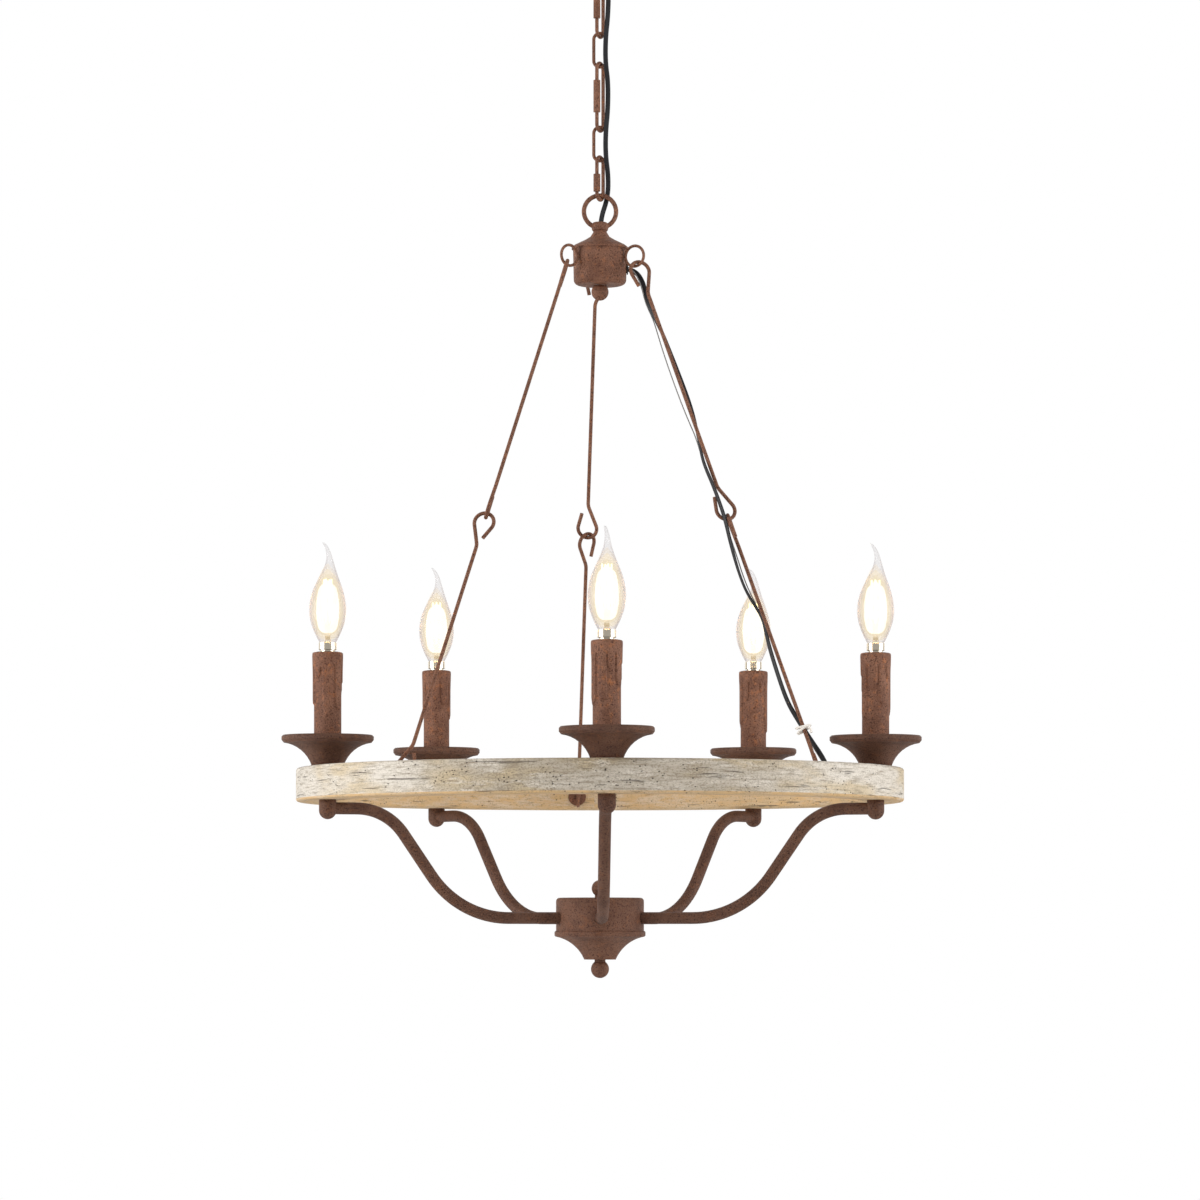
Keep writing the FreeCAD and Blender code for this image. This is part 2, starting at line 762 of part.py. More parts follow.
def bowl():
    hole = bolt_radius + bore_gap
    brim = bowl_radius - bowl_bevel
    brim_foot = bowl_height - bowl_rim
    inside = drum_radius - drum_wall - bowl_inset
    inner_foot = brim_foot + bowl_bevel
    return turned([(hole, 0), (bowl_foot_radius, 0),
                   bow(bowl_foot_radius, 0, brim, brim_foot, bowl_rise),
                   (bowl_radius, inner_foot), (bowl_radius, bowl_height - bowl_bevel),
                   (brim, bowl_height), (inside, bowl_height), (inside, inner_foot),
                   bow(inside, inner_foot, bowl_foot_radius - bowl_bevel, bowl_wall, bowl_bevel - bowl_rise),
                   (hole, bowl_wall)], V(0, 0, bowl_foot_z))


def knob(seat_z, facing, neck_radius_here, ball_radius, lift, bolt_depth):
    # A ball on a short neck, turned up or down, with a blind hole for the hub bolt
    ball = Part.makeSphere(ball_radius, V(0, 0, seat_z) + facing * lift)
    ball = ball.fuse(cylinder(V(0, 0, seat_z), facing, neck_radius_here, lift / 2))
    return ball.cut(cylinder(V(0, 0, seat_z), facing, bolt_radius + bore_gap, bolt_depth))


def lower_hub():
    save("lower_hub_shell", [drum()])
    save("lower_hub_bowl", [bowl()])
    bolt_foot_z = bowl_foot_z - bolt_into_finial
    save("lower_hub_stem", [cylinder(V(0, 0, bolt_foot_z), UP, bolt_radius,
                                     drum_top_z + bolt_into_knob - bolt_foot_z)])
    save("top_knob", [knob(drum_top_z, UP, knob_neck_radius, knob_radius, knob_lift, bolt_into_knob)])
    save("lower_finial", [knob(bowl_foot_z, -UP, finial_neck_radius, finial_radius, finial_lift,
                               bolt_into_finial)])


# ---------------------------------------------------------------- lamps on the rim

cup_floor_z = rim_top_z + cup_floor
holder_top_z = cup_floor_z + sleeve_length
holder_foot_z = holder_top_z - holder_height
pipe_foot_z = rim_foot_z - pipe_below_rim
pipe_top_z = holder_foot_z + pipe_into_holder


def drip_cup(place):
    inner_lip = cup_radius - cup_lip
    band_foot = cup_flare_height + cup_band
    hole = pipe_radius + bore_gap
    return turned([(hole, 0), (cup_foot_radius, 0),
                   bow(cup_foot_radius, 0, cup_flare_radius, cup_flare_height, cup_flare_rise),
                   (cup_radius, band_foot), (cup_radius, cup_height - cup_bevel),
                   (cup_radius - cup_bevel, cup_height), (inner_lip, cup_height), (inner_lip, band_foot),
                   bow(inner_lip, band_foot, cup_foot_radius - cup_bevel, cup_floor, -cup_hollow),
                   (hole, cup_floor)], place)


def lampholder(place):
    pipe_hole = pipe_radius + bore_gap
    return turned([(pipe_hole, 0), (holder_radius, 0, holder_round), (holder_radius, holder_height),
                   (holder_cavity, holder_height), (holder_cavity, holder_floor), (pipe_hole, holder_floor)],
                  place)


def bulb_base(place):
    # Contact, screw shell, cap and glass stem in one, with a small disc that carries the filaments
    stem_top = cap_height + bulb_stem_height
    base = turned([(0, -screw_length - contact_length), (contact_radius, -screw_length - contact_length),
                   (contact_radius, -screw_length), (screw_radius, -screw_length), (screw_radius, 0),
                   (cap_radius, 0), (cap_radius, cap_height, cap_round), (bulb_stem_radius, cap_height),
                   (bulb_stem_radius, stem_top), (spider_radius, stem_top),
                   (spider_radius, stem_top + spider_thickness), (0, stem_top + spider_thickness)], place)
    for i in range(filaments):
        foot = place + radial(360 / filaments * (i + 0.5)) * filament_circle + UP * stem_top
        base = base.fuse(cylinder(foot, UP, filament_radius, filament_length))
    return base


def bulb_glass(place):
    # A flame shape: a belly, a shoulder and a drawn-out tip
    wall = glass_wall
    inner_belly = glass_belly - wall
    inner_shoulder = glass_shoulder - wall
    inner_height = glass_height - 3 * wall
    tip = glass_tip
    return turned([(glass_foot, 0), bow(glass_foot, 0, glass_belly, glass_belly_height, -glass_bulge),
                   bow(glass_belly, glass_belly_height, glass_shoulder, glass_shoulder_height, -glass_bulge),
                   bow(glass_shoulder, glass_shoulder_height, tip, glass_height, glass_tip_hollow),
                   (0, glass_height), (0, inner_height), (tip, inner_height),
                   bow(tip, inner_height, inner_shoulder, glass_shoulder_height, -glass_tip_hollow),
                   bow(inner_shoulder, glass_shoulder_height, inner_belly, glass_belly_height, glass_bulge),
                   bow(inner_belly, glass_belly_height, glass_foot - wall, 0, glass_bulge)],
                  place + UP * cap_height)


def lamps():
    places = [radial(angle) * rim_middle for angle in arm_angles]
    pipes = []
    for place in places:
        foot = place + UP * pipe_foot_z
        length = pipe_top_z - pipe_foot_z
        pipes.append(cylinder(foot, UP, pipe_radius, length).cut(cylinder(foot, UP, pipe_bore, length)))
    save("cup_nipples", pipes)
    save("cup_nuts", [hexagon(place + UP * cup_floor_z, UP, cup_nut_width, cup_nut_height,
                              pipe_radius + bore_gap) for place in places])
    save("drip_cups", [drip_cup(place + UP * rim_top_z) for place in places])
    save("candle_sleeves", [turned([(sleeve_outer, 0), (sleeve_outer, sleeve_length),
                                    (sleeve_outer - sleeve_wall, sleeve_length),
                                    (sleeve_outer - sleeve_wall, 0)], place + UP * cup_floor_z)
                            for place in places])
    save("lampholders", [lampholder(place + UP * holder_foot_z) for place in places])
    for i, place in enumerate(places):
        save("bulb_base_" + str(i + 1), [bulb_base(place + UP * holder_top_z)])
        save("bulb_glass_" + str(i + 1), [bulb_glass(place + UP * holder_top_z)])


# ---------------------------------------------------------------- cords

right = suspensions[2]

# Down the ceiling nipple, out of the loop, beside the links, behind the hub ring's top, into the stem
cord_joint = V(0, 0, -334)
supply_route = [V(0, 0, -1), V(0, 0, -51), V(8.8, 3.2, -72), V(8.3, -1.0, -92), V(7.6, -2.6, -116),
                V(5.4, -5.2, -136), V(5.0, -5.2, -160), V(7.8, -2.4, -180), V(7.6, -1.8, -206),
                V(5.4, -5.2, -228), V(5.2, -5.0, -250), V(8.2, 1.2, -271), V(7.6, 6.6, -291),
                V(0, 0, -313), cord_joint]


def by_hole(out, sideways, z):
    return right.outwards * out + right.sideways * sideways + UP * z


# Out of the stem's window and the bushing, down the right-hand rods and into the rim
branch_route = [cord_joint, V(0, 0, -346), V(5.0, 0.9, -354.8), V(14.0, 0.9, -359.6), V(27.0, 0.9, -359.8),
                V(36.5, -2.5, -364.5), V(42.5, -9.5, -377), right.at(43, -3.4, 3.6), right.at(66, 0.2, 5.0),
                right.at(86, 4.0, 3.7), right.at(106, 4.9, 1.0), right.at(140, 4.8, 1.5),
                right.at(160, 3.2, 4.4), right.at(180, -0.8, 5.5), right.at(200, -4.5, 3.4),
                right.at(216, -5.3, -1.4), right.at(234, -4.0, -7.2), right.at(258, -5.0, -8.2),
                right.at(284, -6.0, -5.2), right.at(316, -4.8, -1.4), right.at(362, -4.6, -2.0),
                right.at(410, -5.0, -0.8), right.at(440, -5.2, -0.2), right.at(458, -4.9, 3.2),
                right.at(474, -3.0, 5.2), right.at(500, 3.4, 5.4), right.at(516, 8.4, 4.0),
                by_hole(240.8, 12.6, -851.5), by_hole(250.3, 14.2, -858.7), by_hole(263.3, 14.2, -859.3)]

# Bonded to the shell's floor, out beside the branch cord and down with it
bond_route = [V(15.5, -2.6, shell_foot_z + shell_wall), V(15.5, -2.6, -366.5), V(19.5, -2.6, -360.8),
              V(27.0, -2.6, -359.4), V(34.0, -5.5, -364.5), V(39.5, -13.0, -378), right.at(43, -6.9, 4.8),
              right.at(66, -3.2, 6.6), right.at(86, 1.2, 6.4), right.at(106, 3.9, 4.9), right.at(140, 3.4, 5.3),
              right.at(160, -0.2, 6.4), right.at(180, -4.4, 6.5), right.at(200, -8.1, 3.8),
              right.at(216, -9.0, -1.2), right.at(234, -7.7, -6.9), right.at(258, -8.7, -7.8),
              right.at(284, -9.7, -4.8), right.at(316, -8.4, -1.0), right.at(362, -8.2, -1.6),
              right.at(410, -8.6, -0.4), right.at(440, -8.8, 0.6), right.at(458, -8.8, 5.2),
              right.at(474, -6.8, 9.8), right.at(500, 1.2, 11.0), right.at(516, 5.6, 7.4),
              by_hole(238.5, 16.2, -851.5), by_hole(250.3, 17.8, -858.9), by_hole(262.5, 17.8, -859.3)]


def rounded_route(points, radius, name):
    edges = []
    bends = []
    here = points[0]
    for before, corner, after in zip(points, points[1:], points[2:]):
        turn = (corner - before).getAngle(after - corner)
        shorter = min((corner - before).Length, (after - corner).Length)
        bend = arc_share * shorter / math.tan(turn / 2)
        start, middle, end = corner_arc(before, corner, after, bend)
        edges.append(line(here, start))
        edges.append(arc(start, middle, end))
        bends.append(bend)
        here = end
    edges.append(line(here, points[-1]))
    solid = swept(edges, radius)
    length = sum(edge.Length for edge in edges)
    share = solid.Volume / (math.pi * radius ** 2 * length)
    print(name, "length", round(length), "radii", [round(bend) for bend in bends], "volume share", round(share, 4))
    return solid


def stadium(first, second, axis, radius, height):
    # A rounded band's outline round two parallel round things
    towards = (second - first).normalize()
    side = axis.cross(towards) * radius
    end = towards * radius
    edges = [line(first + side, second + side), arc(second + side, second + end, second - side),
             line(second - side, first - side), arc(first - side, first - end, first + side)]
    return Part.Face(Part.Wire(edges)).extrude(axis * height)


def cord_tie():
    # The band starts half its height above its middle; the cord is behind the rod there
    rod_here = right.at(tie_at - tie_height / 2)
    behind = tie_behind - right.along * tie_behind.dot(right.along)
    cord_here = rod_here + behind
    band = stadium(rod_here, cord_here, right.along, tie_inner + tie_wall, tie_height)
    return band.cut(stadium(rod_here, cord_here, right.along, tie_inner, tie_height))


def cords():
    save("supply_cord", [rounded_route(supply_route, cord_radius, "supply_cord")])
    save("branch_cord", [rounded_route(branch_route, cord_radius, "branch_cord")])
    save("ground_wire", [rounded_route(bond_route, wire_radius, "ground_wire")])
    save("cord_tie", [cord_tie()])


ceiling_fitting()
chain()
hub()
rods()
save("wood_rim", [wood_rim()])
save("rim_eyes", rim_eyes())
for number, angle in enumerate(arm_angles):
    save("arm_" + str(number + 1), [arm(angle)])
save("arm_ferrules", [ferrule(angle) for angle in arm_angles])
save("arm_locknuts", [arm_nut(angle) for angle in arm_angles])
lower_hub()
lamps()
cords()
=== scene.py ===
# Wagon wheel chandelier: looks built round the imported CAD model. Metres, +Z up, the ceiling is z = 0.
import math
import bpy
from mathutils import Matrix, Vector


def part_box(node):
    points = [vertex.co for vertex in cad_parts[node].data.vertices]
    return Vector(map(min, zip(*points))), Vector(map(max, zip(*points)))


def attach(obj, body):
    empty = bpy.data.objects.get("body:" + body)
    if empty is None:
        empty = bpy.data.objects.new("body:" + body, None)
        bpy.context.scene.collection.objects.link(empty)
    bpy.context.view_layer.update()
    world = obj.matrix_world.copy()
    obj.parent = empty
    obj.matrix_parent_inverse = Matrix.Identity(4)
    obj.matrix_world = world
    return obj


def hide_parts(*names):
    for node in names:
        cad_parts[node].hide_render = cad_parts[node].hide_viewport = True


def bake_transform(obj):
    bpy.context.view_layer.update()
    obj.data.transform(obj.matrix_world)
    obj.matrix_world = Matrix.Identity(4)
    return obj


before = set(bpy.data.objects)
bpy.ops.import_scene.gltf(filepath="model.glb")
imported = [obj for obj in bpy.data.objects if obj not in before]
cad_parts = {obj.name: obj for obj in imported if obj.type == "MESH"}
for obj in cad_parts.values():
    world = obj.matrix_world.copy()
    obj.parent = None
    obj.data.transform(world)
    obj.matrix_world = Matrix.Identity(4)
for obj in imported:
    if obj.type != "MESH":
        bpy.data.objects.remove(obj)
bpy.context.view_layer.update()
lamps = {"angles": [-90, -18, 54, 126, 198], "ringRadius": 0.2737, "sleeveTop": -0.73638,
         "sleeveLength": 0.105, "turns": [20, 205, 75, 150, 310], "leans": [70, 10, 5, 0, 20]}


# ---- small helpers

def deselectAll():
    if bpy.context.object and bpy.context.object.mode != "OBJECT":
        bpy.ops.object.mode_set(mode="OBJECT")
    bpy.ops.object.select_all(action="DESELECT")


def choose(piece):
    deselectAll()
    piece.select_set(True)
    bpy.context.view_layer.objects.active = piece


def settle(piece):
    # The place goes into the mesh, as on the CAD nodes
    choose(piece)
    bpy.ops.object.transform_apply(location=True, rotation=True, scale=True)


def applyModifier(piece, kind, settings):
    choose(piece)
    modifier = piece.modifiers.new(kind.title(), kind)
    for key, value in settings.items():
        setattr(modifier, key, value)
    bpy.ops.object.modifier_apply(modifier=modifier.name)


def smooth(piece, angle=40):
    choose(piece)
    bpy.ops.object.shade_smooth_by_angle(angle=math.radians(angle))


def selectFaces(piece, wanted):
    # Edit mode with only the wanted faces selected
    choose(piece)
    bpy.ops.object.mode_set(mode="EDIT")
    bpy.ops.mesh.select_all(action="DESELECT")
    bpy.ops.mesh.select_mode(type="FACE")
    bpy.ops.object.mode_set(mode="OBJECT")
    for face in piece.data.polygons:
        face.select = wanted(face.center)
    bpy.ops.object.mode_set(mode="EDIT")


def loft(name, centre, rings, sides=32):
    # A ring of edges is drawn up through the rings: height, radius and, where it leans, its offset to +x.
    # Edit mode stays on
    deselectAll()
    centre = Vector(centre)
    here = centre + Vector((0, 0, rings[0][0]))
    radius = rings[0][1]
    bpy.ops.mesh.primitive_circle_add(vertices=sides, radius=radius, location=here)
    piece = bpy.context.object
    piece.name = piece.data.name = name
    settle(piece)
    bpy.ops.object.mode_set(mode="EDIT")
    bpy.ops.mesh.select_mode(type="VERT")
    bpy.ops.mesh.select_all(action="SELECT")
    for ring in rings[1:]:
        there = centre + Vector((ring[2] if len(ring) > 2 else 0, 0, ring[0]))
        bpy.ops.mesh.extrude_region_move(TRANSFORM_OT_translate={"value": there - here})
        grow = ring[1] / radius
        bpy.ops.transform.resize(value=(grow, grow, grow), center_override=there)
        here, radius = there, ring[1]
    return piece


def closeEnds(piece):
    # Comes right after loft, with edit mode still on
    bpy.ops.mesh.select_all(action="SELECT")
    bpy.ops.mesh.fill_holes(sides=0)
    bpy.ops.mesh.normals_make_consistent(inside=False)
    bpy.ops.object.mode_set(mode="OBJECT")


def copyTo(piece, name, place, turn):
    # A copy turned by the degrees of turn round the origin's vertical, then moved to its place
    choose(piece)
    bpy.ops.object.duplicate()
    copy = bpy.context.object
    copy.name = copy.data.name = name
    bpy.ops.transform.rotate(value=math.radians(turn), orient_axis="Z", center_override=(0, 0, 0))
    bpy.ops.transform.translate(value=place)
    settle(copy)
    return copy


# ---- shader nodes written as maths

class Socket:
    def __init__(self, finish, output):
        self.finish = finish
        self.output = output

    def maths(self, operation, first, second):
        return self.finish.node("ShaderNodeMath", {"operation": operation}, {0: first, 1: second})

    def __add__(self, other):
        return self.maths("ADD", self, other)

    def __radd__(self, other):
        return self.maths("ADD", other, self)

    def __sub__(self, other):
        return self.maths("SUBTRACT", self, other)

    def __rsub__(self, other):
        return self.maths("SUBTRACT", other, self)

    def __mul__(self, other):
        return self.maths("MULTIPLY", self, other)

    def __rmul__(self, other):
        return self.maths("MULTIPLY", other, self)


class Finish:
    def __init__(self, name, **surface):
        self.material = bpy.data.materials.new(name)
        self.material.use_nodes = True
        self.tree = self.material.node_tree
        self.shader = self.tree.nodes["Principled BSDF"]
        for socket, value in surface.items():
            self.shader.inputs[socket.replace("_", " ")].default_value = value

    def node(self, kind, settings, sockets, output=0):
        made = self.tree.nodes.new(kind)
        for key, value in settings.items():
            setattr(made, key, value)
        for key, value in sockets.items():
            if isinstance(value, Socket):
                self.tree.links.new(value.output, made.inputs[key])
            else:
                made.inputs[key].default_value = value
        return Socket(self, made.outputs[output])

    def feed(self, **sockets):
        for socket, value in sockets.items():
            self.tree.links.new(value.output, self.shader.inputs[socket.replace("_", " ")])

    def place(self):
        return self.node("ShaderNodeTexCoord", {}, {}, "Object")

    def noise(self, place, scale, detail=3, roughness=0.55):
        return self.node("ShaderNodeTexNoise", {}, {"Vector": place, "Scale": scale, "Detail": detail,
                                                    "Roughness": roughness}, "Fac")

    def between(self, value, low, high):
        # 0 below low, 1 above high
        return self.node("ShaderNodeMapRange", {"interpolation_type": "SMOOTHSTEP"},
                         {"Value": value, "From Min": low, "From Max": high})

    def mix(self, amount, first, second):
        return self.node("ShaderNodeMix", {"data_type": "RGBA"}, {0: amount, 6: first, 7: second}, 2)

    def bump(self, height, distance, strength=1.0):
        return self.node("ShaderNodeBump", {}, {"Height": height, "Distance": distance, "Strength": strength})


def colour(red, green, blue):
    # As read off a picture, 0 to 255, to the shader's linear values
    def linear(value):
        value = value / 255
        return value / 12.92 if value < 0.04045 else ((value + 0.055) / 1.055) ** 2.4
    return (linear(red), linear(green), linear(blue), 1)


# ---- camera

# It looks level, and "rise" is the vertical shift that frames the photograph's part of the object
cameraSet = {"distance": 4.53, "azimuth": -91.3, "height": -1.00785, "lens": 140.4, "sensor": 36, "rise": 0.2817,
             "reach": 60}
around = math.radians(cameraSet["azimuth"])
bpy.ops.object.camera_add(location=(cameraSet["distance"] * math.cos(around),
                                    cameraSet["distance"] * math.sin(around), cameraSet["height"]),
                          rotation=(math.pi / 2, 0, around + math.pi / 2))
camera = bpy.context.object
camera.data.lens = cameraSet["lens"]
camera.data.sensor_width = cameraSet["sensor"]
camera.data.shift_y = cameraSet["rise"]
camera.data.clip_end = cameraSet["reach"]
bpy.context.scene.camera = camera
print("camera set")

# ---- finishes

rustSet = {"dark": (58, 30, 20), "middle": (116, 80, 62), "brown": (98, 64, 48), "pale": (156, 118, 94),
           "orange": (148, 92, 56), "grain": 1500, "blotch": 42}


def rustIron(name, shade=1.0, warm=0.5):
    # Shade scales the brightness of every tone, warm is how much of the orange bloom shows
    finish = Finish(name, IOR=1.45, Metallic=0.0, Specular_IOR_Level=0.28)
    dark, middle, brown, pale, orange = (colour(*(part * shade for part in rustSet[tone])) for tone in
                                         ("dark", "middle", "brown", "pale", "orange"))
    place = finish.place()
    blotch = finish.noise(place, rustSet["blotch"], 4)
    grain = finish.noise(place, rustSet["grain"], 2, 0.7)
    specks = finish.noise(place, rustSet["grain"] * 0.5, 1)
    tone = finish.mix(finish.between(blotch, 0.36, 0.64), brown, middle)
    tone = finish.mix(finish.between(finish.noise(place, 190, 3), 0.52, 0.74) * warm, tone, orange)
    tone = finish.mix(finish.between(grain, 0.54, 0.7) * 0.6, tone, pale)
    tone = finish.mix(finish.between(specks, 0.47, 0.33) * 0.85, tone, dark)
    finish.feed(Base_Color=tone, Roughness=0.42 + grain * 0.22, Normal=finish.bump(grain + specks, 0.0004))
    return finish.material


woodSet = {"white": colour(226, 218, 206), "grey": colour(142, 128, 108), "beige": colour(206, 184, 144),
           "pit": colour(52, 40, 30), "bare": colour(214, 176, 124), "stain": colour(122, 92, 56),
           "front": colour(160, 144, 118), "inner": 0.2585, "foot": -0.8745}


def whitewashedWood():
    finish = Finish("whitewashedWood", IOR=1.45)
    parts = finish.node("ShaderNodeSeparateXYZ", {}, {"Vector": finish.place()})
    x, y, z = (Socket(finish, parts.output.node.outputs[i]) for i in range(3))
    radius = finish.node("ShaderNodeMath", {"operation": "SQRT"}, {0: x * x + y * y})
    angle = finish.node("ShaderNodeMath", {"operation": "ARCTAN2"}, {0: x, 1: 0 - y})
    along = angle * 0.27

    def stretched(alongScale, acrossScale):
        return finish.node("ShaderNodeCombineXYZ", {}, {0: along * alongScale, 1: radius * acrossScale,
                                                        2: z * acrossScale})

    patch = finish.noise(stretched(1.0, 3.0), 9, 3)
    wash = finish.noise(stretched(1.0, 4.0), 38, 5, 0.65)
    fibre = finish.noise(stretched(1.0, 12.0), 46, 5, 0.75)
    crack = finish.noise(stretched(1.0, 20.0), 15, 3, 0.6)
    mottle = finish.noise(stretched(1.0, 1.4), 520, 3, 0.7)
    # Painted shade: the segment at the front is darkened, in blotches
    frontShade = finish.between(y, -0.2, -0.29) * (0.4 + 0.6 * finish.between(patch, 0.36, 0.6))
    tone = finish.mix(frontShade * 0.85, woodSet["white"], woodSet["front"])
    tone = finish.mix(finish.between(patch, 0.47, 0.64) * 0.7, tone, woodSet["beige"])
    tone = finish.mix(finish.between(wash, 0.5, 0.64) * 0.6, tone, woodSet["white"])
    tone = finish.mix(finish.between(fibre, 0.47, 0.66) * 0.75, tone, woodSet["grey"])
    # The grey mottle is stronger on the front segment, as painted shade
    tone = finish.mix(finish.between(mottle, 0.47, 0.64) * (0.35 + 0.5 * frontShade), tone, woodSet["grey"])
    # The inner face and the underside turn golden: on the inner face it is painted warm light from the bulbs. Stains
    # darken parts of it
    bare = finish.between(finish.between(radius, woodSet["inner"], woodSet["inner"] - 0.002)
                          + finish.between(z, woodSet["foot"] + 0.001, woodSet["foot"]), 0.0, 1.0)
    tone = finish.mix(bare * (0.6 + 0.35 * finish.between(wash, 0.4, 0.62)), tone, woodSet["bare"])
    tone = finish.mix(bare * finish.between(mottle + fibre, 1.08, 1.3) * 0.75, tone, woodSet["stain"])

    def dots(scale, size, spread, cover):
        cells = finish.node("ShaderNodeTexVoronoi", {"feature": "F1"},
                            {"Vector": stretched(1.0, 1.5), "Scale": scale}, "Distance")
        return finish.between(cells, size, size * 0.5) * finish.between(
            finish.noise(stretched(1.0, 1.2), spread, 2), cover, cover + 0.1)

    pits = dots(230, 0.24, 55, 0.5)
    peppers = dots(520, 0.3, 90, 0.44)
    deep = finish.between(crack, 0.62, 0.68)
    tone = finish.mix(peppers * 0.55, tone, woodSet["grey"])
    tone = finish.mix(pits * 0.9, tone, woodSet["pit"])
    tone = finish.mix(deep * 0.6, tone, woodSet["pit"])
    finish.feed(Base_Color=tone, Roughness=0.62 + 0.2 * mottle,
                Normal=finish.bump(fibre * 0.6 + mottle * 0.4 - pits - deep * 0.6, 0.0014, 0.9))
    return finish.material


def zincSteel():
    finish = Finish("zincSteel", Metallic=1.0, Base_Color=colour(190, 190, 186))
    finish.feed(Roughness=0.28 + 0.2 * finish.noise(finish.place(), 160, 3))
    return finish.material


def bulbNickel():
    finish = Finish("bulbNickel", Metallic=1.0, Base_Color=colour(238, 226, 206))
    finish.feed(Roughness=0.16 + 0.12 * finish.noise(finish.place(), 240, 2))
    return finish.material


def blackRubber():
    finish = Finish("blackRubber", IOR=1.42)
    grain = finish.noise(finish.place(), 700, 2)
    finish.feed(Base_Color=finish.mix(grain, colour(18, 18, 20), colour(34, 34, 38)),
                Roughness=0.42 + 0.2 * grain, Normal=finish.bump(grain, 0.0001))
    return finish.material


def mouldedBlack():
    finish = Finish("mouldedBlack", Base_Color=colour(34, 33, 33))
    grain = finish.noise(finish.place(), 900, 2)
    finish.feed(Roughness=0.45 + 0.2 * grain, Normal=finish.bump(grain, 0.0001))
    return finish.material


def greyWire():
    finish = Finish("greyWire", IOR=1.5)
    grain = finish.noise(finish.place(), 500, 2)
    finish.feed(Base_Color=finish.mix(grain, colour(112, 110, 108), colour(156, 153, 150)),
                Roughness=0.3 + 0.2 * grain)
    return finish.material


def whiteTie():
    finish = Finish("whiteTie", IOR=1.45)
    grain = finish.noise(finish.place(), 900, 2)
    finish.feed(Base_Color=finish.mix(grain, colour(236, 230, 222), colour(250, 246, 240)),
                Roughness=0.4 + 0.2 * grain)
    return finish.material


def clearGlass(name, tone, body):
    # Clear to look through, with grey where the wall is seen edge-on
    finish = Finish(name, Base_Color=tone, Specular_IOR_Level=0.6)
    finish.feed(Roughness=0.04 + 0.04 * finish.noise(finish.place(), 60, 1))
    edge = finish.node("ShaderNodeLayerWeight", {}, {"Blend": 0.32}, "Facing")
    clear = finish.node("ShaderNodeBsdfTransparent", {}, {"Color": (1, 1, 1, 1)})
    shown = finish.node("ShaderNodeMixShader", {}, {0: body + edge * edge * 0.85, 1: clear,
                                                    2: Socket(finish, finish.shader.outputs[0])})
    finish.tree.links.new(shown.output, finish.tree.nodes["Material Output"].inputs[0])
    return finish.material


def glowing(name, tone, strength, cover=None):
    # A warm light with faint blotches; with cover, it hides only that share of what lies behind it
    finish = Finish(name, Base_Color=(0, 0, 0, 1), Emission_Strength=strength, Specular_IOR_Level=0.0)
    flicker = finish.noise(finish.place(), 120, 2)
    finish.feed(Emission_Color=finish.mix(flicker * 0.3, tone, colour(255, 214, 140)))
    if cover:
        finish.feed(Alpha=cover * (0.85 + 0.3 * flicker))
    return finish.material


# The darker rust copies are painted shade: the darkest for the arms, drip cups and ferrules, a less dark one for the
# lower hub, its bowl, finial and knob
finishes = {"rust": rustIron("rustIron", 1.12), "deepRust": rustIron("deepRust", 0.88, 0.4),
            "drumRust": rustIron("drumRust", 1.0, 0.4), "warmRust": rustIron("warmRust", 1.16, 0.8),
            "wood": whitewashedWood(), "steel": zincSteel(), "nickel": bulbNickel(), "rubber": blackRubber(),
            "plastic": mouldedBlack(), "wire": greyWire(), "tie": whiteTie(),
            "glass": clearGlass("clearGlass", colour(178, 168, 168), 0.07),
            "stem": clearGlass("stemGlass", colour(216, 196, 160), 0.3),
            "filament": glowing("filament", colour(255, 226, 150), 6.0),
            "glowCore": glowing("glowCore", colour(255, 254, 250), 2.2, 0.6),
            "glowMiddle": glowing("glowMiddle", colour(255, 250, 232), 1.25, 0.38),
            "glowHalo": glowing("glowHalo", colour(255, 241, 208), 1.1, 0.24),
            "glowEdge": glowing("glowEdge", colour(255, 230, 186), 1.0, 0.12)}


def finishPiece(piece, finishName):
    piece.data.materials.clear()
    piece.data.materials.append(finishes[finishName])


plainNodes = ["crossbar", "ceiling_nipple", "nipple_locknut", "hub_stem", "arm_locknuts", "cup_nipples", "cup_nuts",
              "lower_hub_stem"]
# Arms and drip cups take the darkest rust, as painted shade; the nodes of the next list take a less dark one, also
# painted shade
shadedRustNodes = ["arm_1", "arm_2", "arm_3", "arm_4", "arm_5", "drip_cups"]
drumNodes = ["lower_hub_shell", "lower_hub_bowl", "lower_finial", "top_knob"]
for name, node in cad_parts.items():
    kind = "rust"
    if name in shadedRustNodes:
        kind = "deepRust"
    if name in drumNodes:
        kind = "drumRust"
    if name in plainNodes:
        kind = "steel"
    if name == "wood_rim":
        kind = "wood"
    if name in ("hub_grommet", "lampholders"):
        kind = "plastic"
    node.data.materials.clear()
    node.data.materials.append(finishes[kind])
print("finishes on", len(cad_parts), "nodes")

# ---- cords: flat twin cord down the chain, and from the hub along the right-hand rods

# "spread" moves each lobe out, "waist" and "neck" shape the dip between them, "cut" is where the end that stays
# with the wheel begins
cordSet = {"lobe": 0.00125, "spread": 0.0011, "waist": 0.72, "neck": 1.3, "wire": 0.0006, "steps": 10,
           "cut": -0.850}
rodTop = Vector((0.03499, -0.020202, -0.356402))
rodAlong = Vector((0.31846, -0.18386, -0.92993))
rightOut = Vector((0.86603, -0.5, 0))
rightSide = Vector((0.5, 0.86603, 0))


def onRod(distance, dx, dy):
    # Millimetres from the right-hand rods' top crown along their line, then to the right and to the back
    return rodTop + rodAlong * distance / 1000 + Vector((dx, dy, 0)) / 1000


def byHole(out, sideways, z):
    # Millimetres outwards and sideways from the axis on the right-hand side, and up from the ceiling
    return (rightOut * out + rightSide * sideways + Vector((0, 0, z))) / 1000


def hubPlace(x, y, z):
    # Millimetres in the frame's own axes
    return Vector((x, y, z)) / 1000


